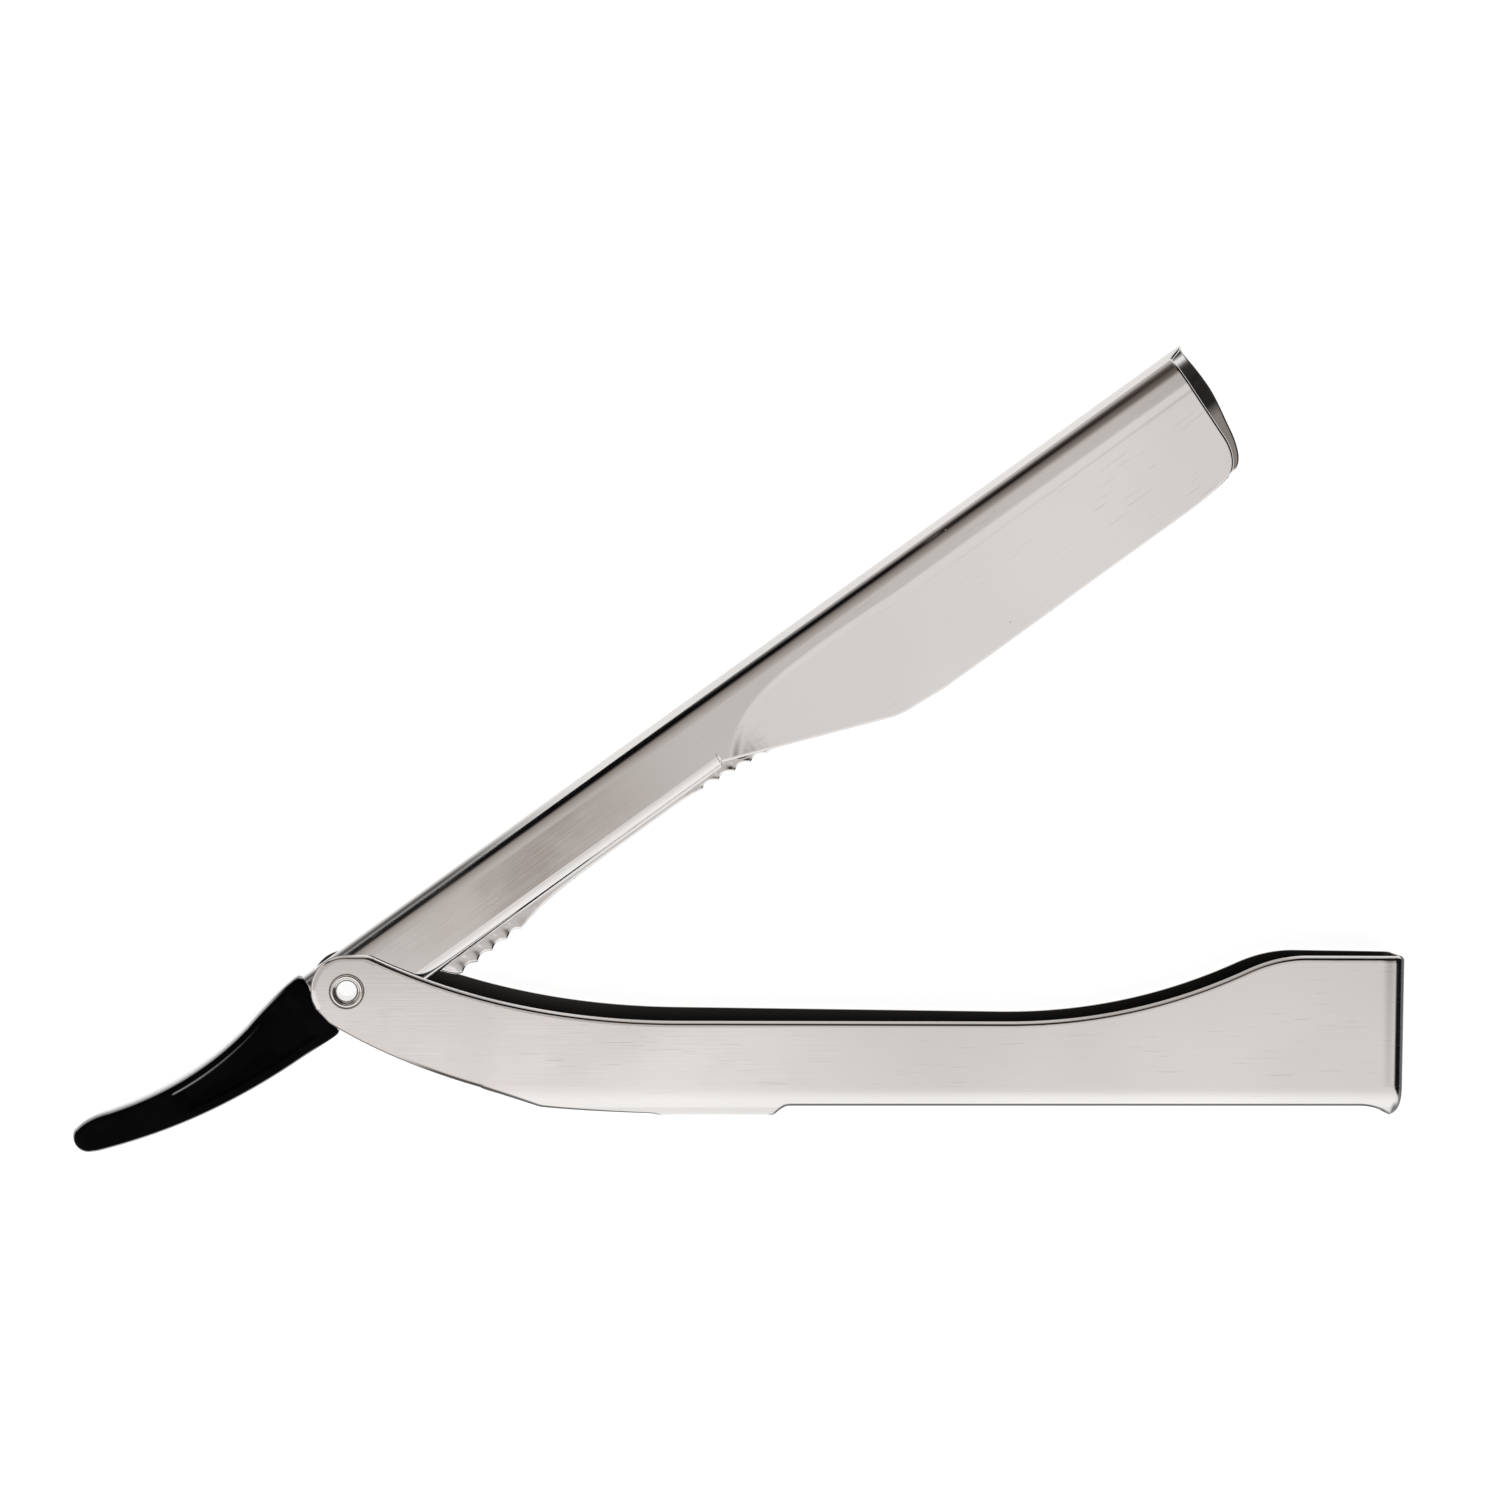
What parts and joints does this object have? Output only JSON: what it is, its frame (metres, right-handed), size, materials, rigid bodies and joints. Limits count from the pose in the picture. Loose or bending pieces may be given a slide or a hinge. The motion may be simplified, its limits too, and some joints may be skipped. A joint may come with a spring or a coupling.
{
  "type": "folding straight razor",
  "caption": "Folding straight razor: a slotted sheet-steel handle, a hollow rivet pivot, a folded steel blade holder with a sliding carrier, and a curved black tail.",
  "frame": {"origin": "middle of the hollow pivot rivet, halfway between the handle's two cheeks", "axes": "+X along the handle from the pivot to its closed end, +Y up the handle's side towards the open rim, +Z along the pivot axis out of the front cheek"},
  "size_m": [0.1704, 0.1042, 0.008],
  "materials": {
    "handle_steel": "polished stainless sheet with faint brushing",
    "holder_steel": "polished stainless sheet with faint brushing",
    "carrier_steel": "satin stainless sheet",
    "fitting_steel": "turned and rolled steel",
    "tail_plastic": "glossy black moulded plastic"
  },
  "bodies": {
    "handle": {"handle_shell": "handle_steel", "pivot_rivet": "fitting_steel", "front_washer": "fitting_steel", "rear_washer": "fitting_steel"},
    "holder": {"holder_shell": "holder_steel", "pivot_bush": "fitting_steel", "tail": "tail_plastic"},
    "carrier": {"blade_carrier": "carrier_steel", "stud_near": "fitting_steel", "stud_middle": "fitting_steel", "stud_far": "fitting_steel"}
  },
  "joints": [
    {"name": "holder_fold", "type": "hinge", "parent": "handle", "child": "holder", "pos_m": [0, 0, 0], "axis": [0, 0, 1], "range_deg": [-36.3, 285]},
    {"name": "carrier_slide", "type": "slide", "parent": "holder", "child": "carrier", "axis": [0.8059, 0.592, 0], "range_m": [0, 0.0042]}
  ]
}
